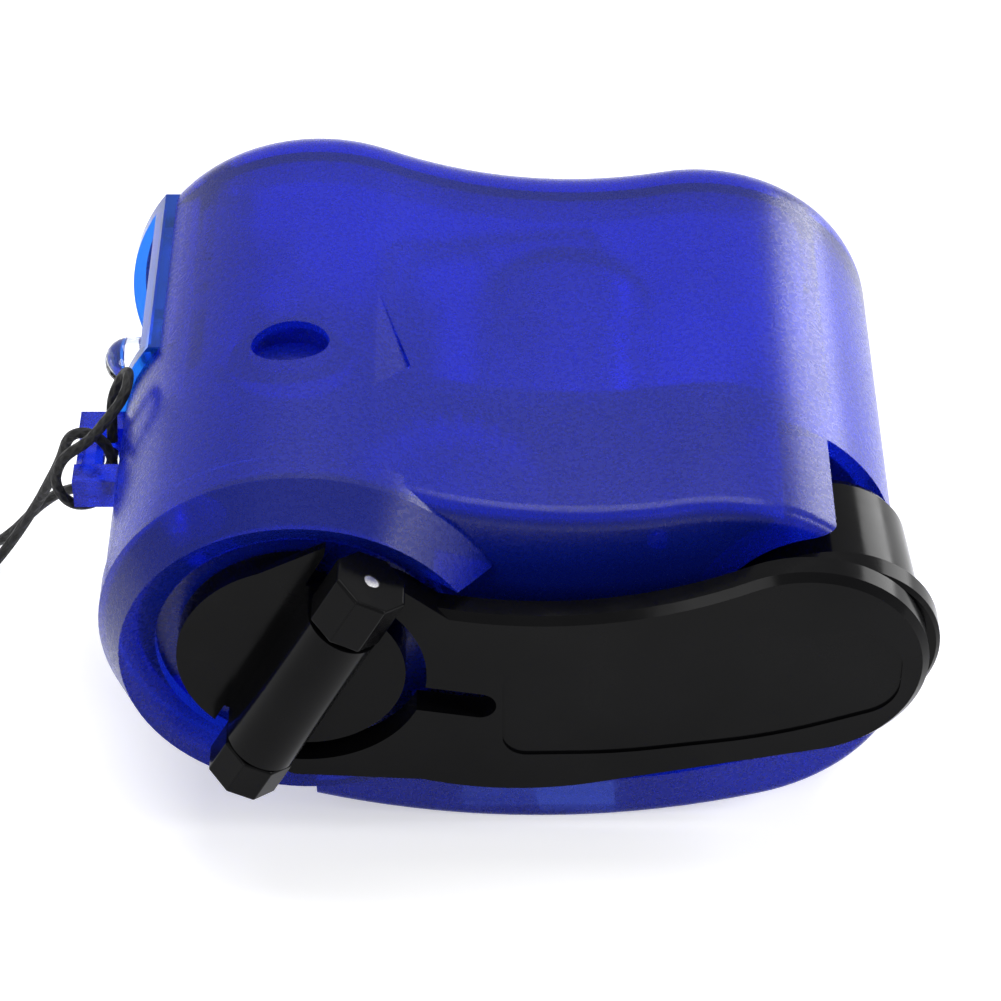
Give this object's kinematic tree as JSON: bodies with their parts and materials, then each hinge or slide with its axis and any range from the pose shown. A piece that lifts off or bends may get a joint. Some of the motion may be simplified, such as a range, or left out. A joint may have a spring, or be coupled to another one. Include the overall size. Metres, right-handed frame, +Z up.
{
  "type": "hand crank phone charger",
  "caption": "Bean-shaped hand crank charger: translucent case, folding crank stowed on the front, side USB socket, lamp and a corded lanyard.",
  "frame": {"origin": "middle of the case with its stowed crank in X and Y, on the surface that the case lies on", "axes": "+X along the case from the crank's hub to the grip, +Y from the front with the crank to the rear cover, +Z up"},
  "size_m": [0.116, 0.0666, 0.0439],
  "materials": {
    "shell_blue": "translucent deep blue plastic with a fine grain",
    "cover_blue": "translucent deep blue plastic",
    "surround_blue": "translucent lighter blue plastic",
    "black_gloss": "glossy near-black plastic",
    "steel": "bright steel",
    "dark_steel": "blackened steel",
    "zinc": "plated steel can",
    "brass": "plain brass",
    "gear_white": "natural white plastic",
    "plate_dark": "dark grey plastic",
    "socket_black": "black plastic",
    "gold": "gold-plated contacts",
    "lens_clear": "clear lens",
    "magnet_grey": "dark ferrite",
    "armature": "laminated iron with copper winding",
    "wire_red": "insulated wire",
    "board_green": "green circuit board",
    "capacitor_blue": "dark sleeve",
    "ferrite": "dark ferrite ring",
    "chip_black": "black moulded package",
    "cord_black": "fine black braid"
  },
  "bodies": {
    "case": {"main_shell": "shell_blue", "rear_cover": "cover_blue", "cover_screws": "dark_steel", "usb_surround": "surround_blue", "usb_shell": "steel", "usb_tongue": "socket_black", "usb_contacts": "gold", "led_lens": "lens_clear", "led_leads": "steel", "front_bush": "brass", "rear_bush": "brass", "axle_a": "steel", "axle_b": "steel", "front_plate": "plate_dark", "rear_plate": "plate_dark", "gearbox_screws": "steel", "generator_can": "zinc", "generator_cap": "socket_black", "generator_magnets": "magnet_grey", "generator_screws": "steel", "generator_wires": "wire_red", "circuit_board": "board_green", "board_screws": "steel", "capacitor": "capacitor_blue", "inductor": "ferrite", "converter_chip": "chip_black", "lanyard_cord": "cord_black", "lanyard_coil": "cord_black"},
    "crank": {"crank_hub": "black_gloss", "crank_shaft": "steel", "shaft_clip": "dark_steel", "drive_gear": "gear_white"},
    "arm": {"crank_arm": "black_gloss", "hinge_pin": "steel", "grip_pin": "steel"},
    "grip_body": {"grip": "black_gloss"},
    "gear_a": {"compound_gear_a": "gear_white"},
    "gear_b": {"compound_gear_b": "gear_white"},
    "rotor": {"generator_rotor": "armature", "rotor_pinion": "brass"}
  },
  "joints": [
    {"name": "crank_turn", "type": "hinge", "parent": "case", "child": "crank", "pos_m": [-0.01855, -0.0267, 0.02414], "axis": [0, 1, 0], "range_deg": [-2, 2]},
    {"name": "arm_fold", "type": "hinge", "parent": "crank", "child": "arm", "pos_m": [-0.01855, -0.0297, 0.02414], "axis": [-0.4618, 0, -0.887], "range_deg": [0, 180]},
    {"name": "grip_spin", "type": "hinge", "parent": "arm", "child": "grip_body", "pos_m": [0.03165, -0.0167, 0.02464], "axis": [0, 1, 0], "continuous": true},
    {"name": "gear_a_turn", "type": "hinge", "parent": "case", "child": "gear_a", "pos_m": [-0.00754, -0.0127, 0.01395], "axis": [0, 1, 0], "range_deg": [-8.5, 8.5]},
    {"name": "gear_b_turn", "type": "hinge", "parent": "case", "child": "gear_b", "pos_m": [-0.00492, -0.0087, 0.02688], "axis": [0, 1, 0], "range_deg": [-25, 25]},
    {"name": "rotor_turn", "type": "hinge", "parent": "case", "child": "rotor", "pos_m": [0.00695, 0.0033, 0.02514], "axis": [0, 1, 0], "range_deg": [-74, 74]}
  ],
  "couplings": [
    {"joint": "gear_a_turn", "follows": "crank_turn", "ratio": -4},
    {"joint": "gear_b_turn", "follows": "crank_turn", "ratio": 12},
    {"joint": "rotor_turn", "follows": "crank_turn", "ratio": -36}
  ]
}
